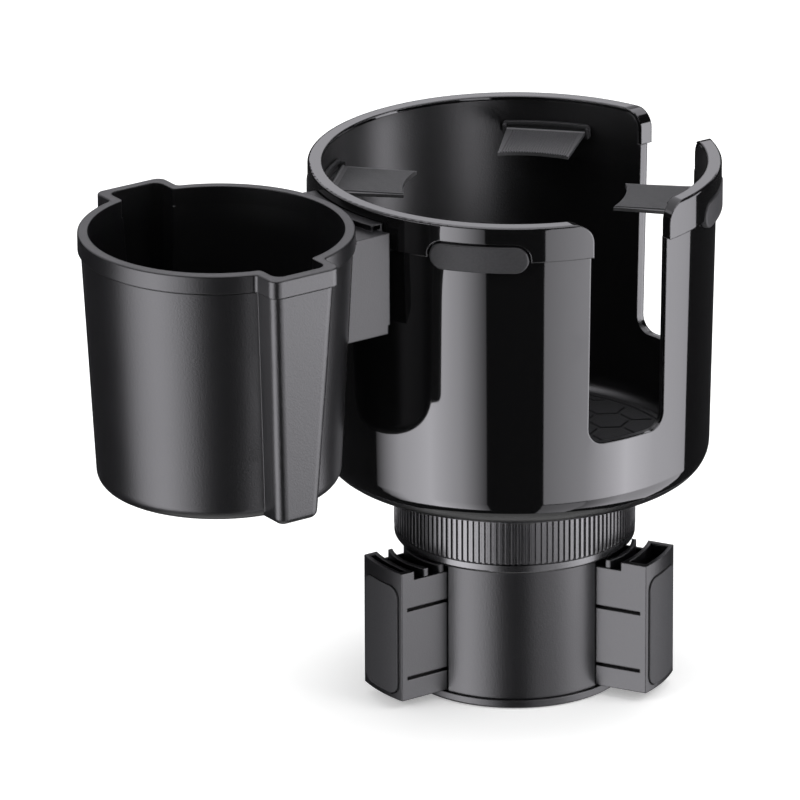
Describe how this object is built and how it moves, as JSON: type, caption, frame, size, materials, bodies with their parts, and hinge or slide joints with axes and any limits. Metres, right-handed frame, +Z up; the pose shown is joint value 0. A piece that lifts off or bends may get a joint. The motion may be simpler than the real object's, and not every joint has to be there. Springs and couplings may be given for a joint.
{
  "type": "car cup holder",
  "caption": "Wide car cup holder with handle slots and gripping flaps, on a base whose jaws spread by a knurled scroll ring, with a smaller cup hung on its side.",
  "frame": {"origin": "centre of the base's underside, on the wide cup's axis", "axes": "+Z up along the wide cup's axis, -X towards the side cup, handle slots facing +X and -Y"},
  "size_m": [0.1783, 0.1049, 0.1403],
  "materials": {
    "gloss_black": "piano gloss",
    "satin_black": "fine-grained satin",
    "soft_black": "matt soft rubber",
    "pad_black": "matt soft pad",
    "steel": "plain machine finish"
  },
  "bodies": {
    "holder": {"base_plate": "satin_black", "base_housing": "satin_black", "main_cup": "gloss_black", "rim_cap_long": "gloss_black", "rim_cap_short": "gloss_black", "floor_mat": "soft_black", "flap_plug_1": "soft_black", "flap_plug_2": "soft_black", "flap_plug_3": "soft_black", "flap_plug_4": "soft_black", "hub_bolt": "steel", "hub_washer": "steel", "hub_nut": "steel", "base_screws": "steel"},
    "ring": {"scroll_ring": "satin_black"},
    "jaw_left": {"jaw_left": "satin_black", "jaw_pad_left": "pad_black"},
    "jaw_back": {"jaw_back": "satin_black", "jaw_pad_back": "pad_black"},
    "jaw_right": {"jaw_right": "satin_black", "jaw_pad_right": "pad_black"},
    "flap_1": {"grip_flap_1": "soft_black"},
    "flap_2": {"grip_flap_2": "soft_black"},
    "flap_3": {"grip_flap_3": "soft_black"},
    "flap_4": {"grip_flap_4": "soft_black"},
    "side": {"side_cup": "satin_black", "side_bracket": "satin_black", "bracket_screws": "steel"}
  },
  "joints": [
    {"name": "ring_turn", "type": "hinge", "parent": "holder", "child": "ring", "pos_m": [0, 0, 0.045], "axis": [0, 0, 1], "range_deg": [0, 720]},
    {"name": "jaw_left_slide", "type": "slide", "parent": "holder", "child": "jaw_left", "axis": [-1, 0, 0], "range_m": [-0.0096, 0]},
    {"name": "jaw_back_slide", "type": "slide", "parent": "holder", "child": "jaw_back", "axis": [0.5, 0.866, 0], "range_m": [-0.0096, 0]},
    {"name": "jaw_right_slide", "type": "slide", "parent": "holder", "child": "jaw_right", "axis": [0.5, -0.866, 0], "range_m": [-0.0096, 0]},
    {"name": "flap_1_bend", "type": "hinge", "parent": "holder", "child": "flap_1", "pos_m": [0.03308, 0.03308, 0.1317], "axis": [0.7071, -0.7071, 0], "range_deg": [-30, 75], "stiffness_Nm_per_rad": 0.02},
    {"name": "flap_2_bend", "type": "hinge", "parent": "holder", "child": "flap_2", "pos_m": [-0.03308, 0.03308, 0.1317], "axis": [0.7071, 0.7071, 0], "range_deg": [-30, 75], "stiffness_Nm_per_rad": 0.02},
    {"name": "flap_3_bend", "type": "hinge", "parent": "holder", "child": "flap_3", "pos_m": [-0.03308, -0.03308, 0.1317], "axis": [-0.7071, 0.7071, 0], "range_deg": [-30, 75], "stiffness_Nm_per_rad": 0.02},
    {"name": "flap_4_bend", "type": "hinge", "parent": "holder", "child": "flap_4", "pos_m": [0.03308, -0.03308, 0.1317], "axis": [-0.7071, -0.7071, 0], "range_deg": [-30, 75], "stiffness_Nm_per_rad": 0.02},
    {"name": "side_cup_lift", "type": "slide", "parent": "holder", "child": "side", "axis": [0, 0, 1], "range_m": [0, 0.03]}
  ],
  "couplings": [
    {"joint": "jaw_left_slide", "follows": "ring_turn", "m_per_rad": -0.00076394},
    {"joint": "jaw_back_slide", "follows": "ring_turn", "m_per_rad": -0.00076394},
    {"joint": "jaw_right_slide", "follows": "ring_turn", "m_per_rad": -0.00076394}
  ]
}
